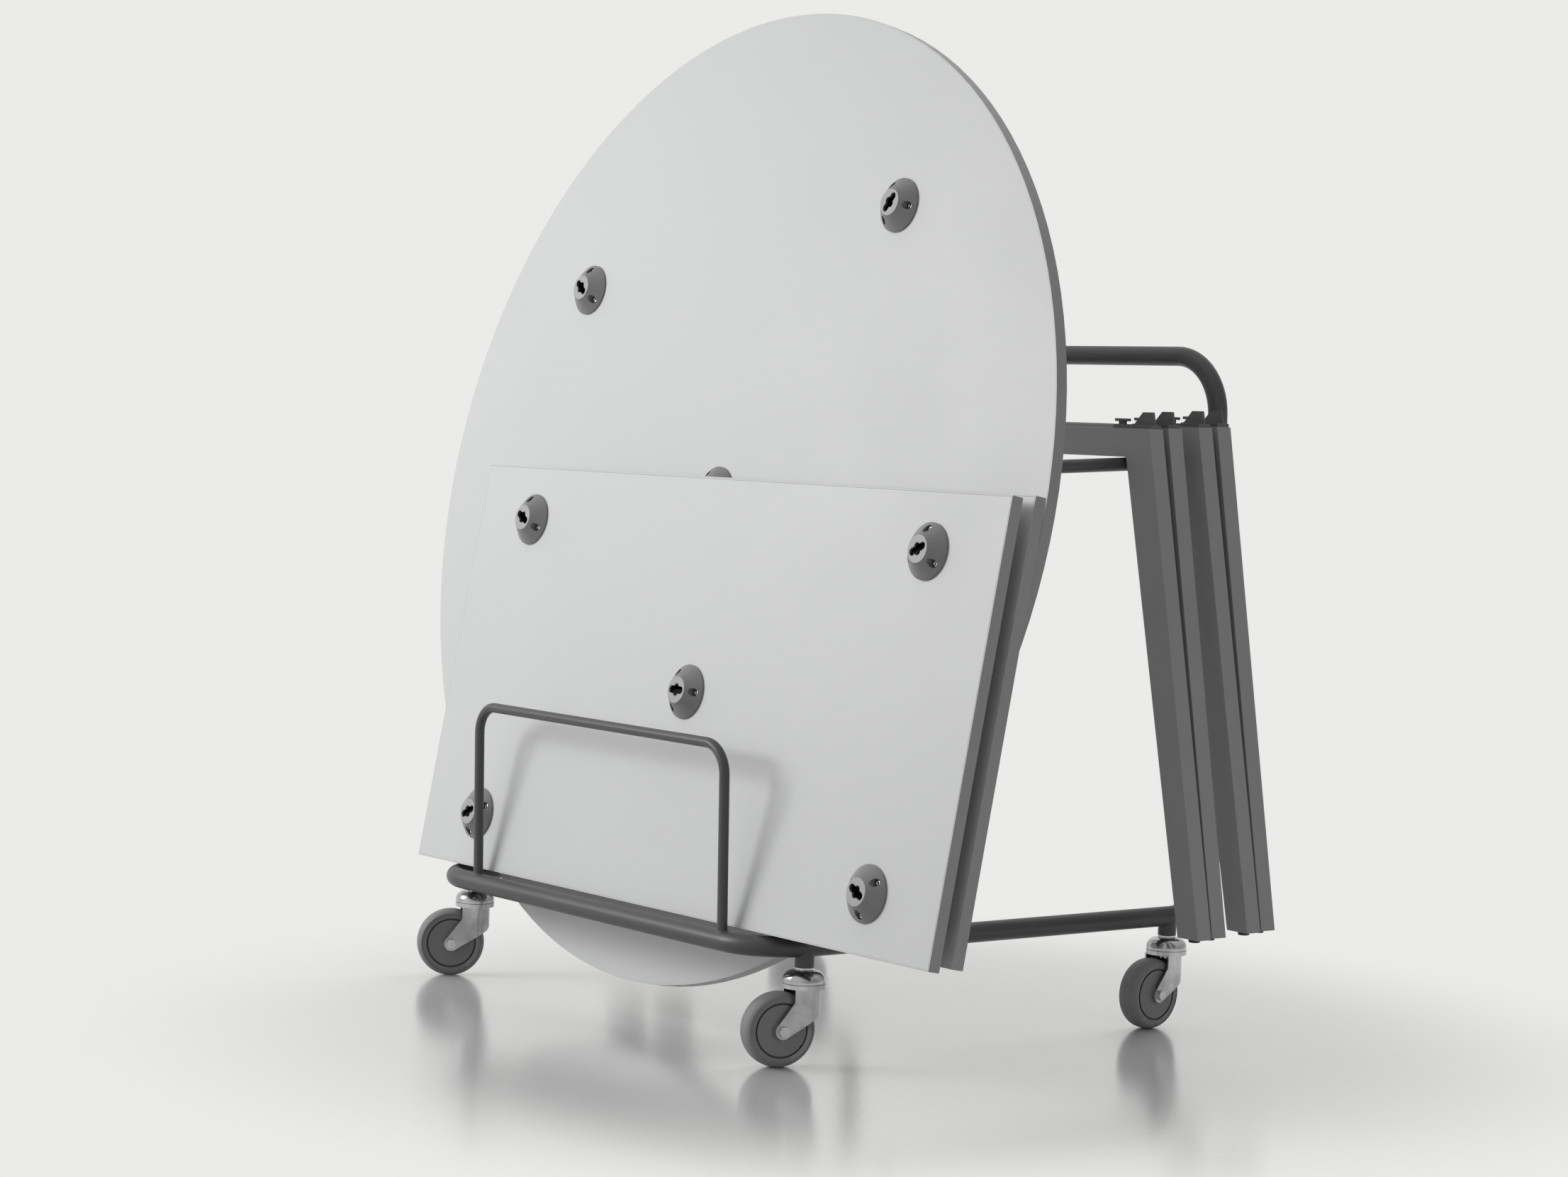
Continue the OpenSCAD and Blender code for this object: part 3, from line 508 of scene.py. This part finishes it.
def makeFloor():
    bm = bmesh.new()
    bmesh.ops.create_grid(bm, x_segments=2, y_segments=2, size=studio["floorSize"] / 2)
    mesh = bpy.data.meshes.new("floor")
    bm.to_mesh(mesh)
    bm.free()
    floor = bpy.data.objects.new("floor", mesh)
    bpy.context.scene.collection.objects.link(floor)
    material, tree, shader, place = newMaterial("floorFinish")
    # the floor that the camera sees is paler than the one that lights the object
    bounced = tree.nodes.new("ShaderNodeLightPath").outputs["Is Diffuse Ray"]
    greys = (studio["floorGrey"], studio["floorGrey"] * (1 - studio["floorShade"]))
    tree.links.new(rangeOf(tree, bounced, (0, 1), greys), shader.inputs["Base Color"])
    shader.inputs["Roughness"].default_value = studio["floorRough"]
    shader.inputs["IOR"].default_value = studio["floorIor"]
    shader.inputs["Metallic"].default_value = studio["floorPolish"]
    height = noiseOf(tree, place, studio["rippleScale"], noise["fineDetail"])
    addRelief(tree, shader, height, studio["ripple"], studio["rippleDepth"])
    # far from the object the floor takes the backdrop's plain colour
    shift = tree.nodes.new("ShaderNodeVectorMath")
    shift.operation = "SUBTRACT"
    shift.inputs[1].default_value = studio["fadeMiddle"]
    tree.links.new(place, shift.inputs[0])
    length = tree.nodes.new("ShaderNodeVectorMath")
    length.operation = "LENGTH"
    tree.links.new(shift.outputs["Vector"], length.inputs[0])
    distances = (studio["fadeStart"], studio["fadeEnd"])
    fade = rangeOf(tree, length.outputs["Value"], distances, (0, 1), smooth=True)
    plain = tree.nodes.new("ShaderNodeEmission")
    plain.inputs["Color"].default_value = (*studio["backColour"], 1)
    glow = rangeOf(tree, bounced, (0, 1), (1.0, 1.0 - studio["fadeShade"]))
    tree.links.new(glow, plain.inputs["Strength"])
    blendShaders(tree, fade, shader.outputs["BSDF"], plain.outputs["Emission"], "Material Output")
    mesh.materials.append(material)


def makeWorld():
    world = bpy.data.worlds.new("studio")
    bpy.context.scene.world = world
    world.use_nodes = True
    tree = world.node_tree
    # the studio is bright towards the upper left front and dim on the other side
    towards = tree.nodes.new("ShaderNodeVectorMath")
    towards.operation = "DOT_PRODUCT"
    towards.inputs[1].default_value = studio["brightSide"]
    tree.links.new(tree.nodes.new("ShaderNodeTexCoord").outputs["Generated"], towards.inputs[0])

    def strengthFrom(start, dim, bright):
        return rangeOf(tree, towards.outputs["Value"], (start, 1.0), (dim, bright), smooth=True)

    def mostOf(first, second):
        node = tree.nodes.new("ShaderNodeMath")
        node.operation = "MAXIMUM"
        tree.links.new(first, node.inputs[0])
        tree.links.new(second, node.inputs[1])
        return node.outputs["Value"]

    path = tree.nodes.new("ShaderNodeLightPath").outputs
    sky = tree.nodes["Background"]
    sky.inputs["Color"].default_value = (1, 1, 1, 1)
    skyStrength = strengthFrom(studio["skyEdge"], studio["dimSky"], studio["brightSky"])
    tree.links.new(skyStrength, sky.inputs["Strength"])
    # the camera sees a plain backdrop, gloss and glass see it with the studio's fall-off
    seen = tree.nodes.new("ShaderNodeBackground")
    seen.inputs["Color"].default_value = (*studio["backColour"], 1)
    fallOff = strengthFrom(-1.0, studio["dimGloss"], 1.0)
    tree.links.new(mostOf(fallOff, path["Is Camera Ray"]), seen.inputs["Strength"])
    shown = mostOf(mostOf(path["Is Camera Ray"], path["Is Glossy Ray"]),
                   path["Is Transmission Ray"])
    blendShaders(tree, shown, sky.outputs["Background"], seen.outputs["Background"],
                 "World Output")


# Lamps. The key lamp is doubled: one lights all but the floor and is mirrored in the part, the
# other lights only the floor, which would else mirror it as a white patch in other views.
keyLight = dict(place=(-1.85, -2.85, 1.75), target=(-0.2, -0.2, 0.8), size=(1.6, 1.4), power=62)
lamps = {
    "keyLamp": dict(keyLight, mirrored=True, floorLink="EXCLUDE"),
    "floorLamp": dict(keyLight, floorLink="INCLUDE"),
    "sideLamp": dict(place=(4.3, 0.4, 1.3), target=(0, 0, 0.6), size=(2.2, 2.2), power=26),
    "rearLamp": dict(place=(-0.9, 3.3, 2.5), target=(0, 0, 0.6), size=(3.0, 2.2), power=100),
}


def addLamp(name, place, target, size, power, mirrored=False, floorLink=None):
    lamp = bpy.data.lights.new(name, "AREA")
    lamp.shape = "RECTANGLE"
    lamp.size, lamp.size_y = size
    lamp.energy = power
    holder = bpy.data.objects.new(name, lamp)
    holder.visible_glossy = mirrored
    bpy.context.scene.collection.objects.link(holder)
    aim = (Vector(target) - Vector(place)).to_track_quat("-Z", "Y").to_matrix().to_4x4()
    holder.matrix_world = Matrix.Translation(place) @ aim
    if floorLink:
        group = bpy.data.collections.new(name + "Group")
        group.objects.link(bpy.data.objects["floor"])
        group.collection_objects[0].light_linking.link_state = floorLink
        holder.light_linking.receiver_collection = group


# Camera: the photograph's place and angles in degrees, its focal length in its own pixels
camera = {
    "place": (4.0020, -3.1209, 0.8546), "heading": 52.419, "pitch": 2.866, "roll": 1.958,
    "focalPixels": 4867.7, "imageWidth": 2212, "sensor": 36.0, "clipEnd": 100,
}


def makeCamera():
    s = camera
    heading, pitch, roll = (math.radians(s[k]) for k in ("heading", "pitch", "roll"))
    level = Vector((-math.sin(heading), math.cos(heading), 0))
    right = Vector((math.cos(heading), math.sin(heading), 0))
    ahead = level * math.cos(pitch) - upwards * math.sin(pitch)
    up = upwards * math.cos(pitch) + level * math.sin(pitch)
    right, up = (right * math.cos(roll) + up * math.sin(roll),
                 up * math.cos(roll) - right * math.sin(roll))
    data = bpy.data.cameras.new("camera")
    data.sensor_fit = "HORIZONTAL"
    data.sensor_width = s["sensor"]
    data.lens = s["sensor"] * s["focalPixels"] / s["imageWidth"]
    data.clip_end = s["clipEnd"]
    view = bpy.data.objects.new("camera", data)
    bpy.context.scene.collection.objects.link(view)
    turn = Matrix((right, up, -ahead)).transposed().to_4x4()
    view.matrix_world = Matrix.Translation(s["place"]) @ turn
    bpy.context.scene.camera = view


makeFloor()
makeWorld()
for lampName, lampValues in lamps.items():
    addLamp(lampName, **lampValues)
makeCamera()
bpy.context.scene.view_settings.view_transform = "Standard"
print("scene: studio set")
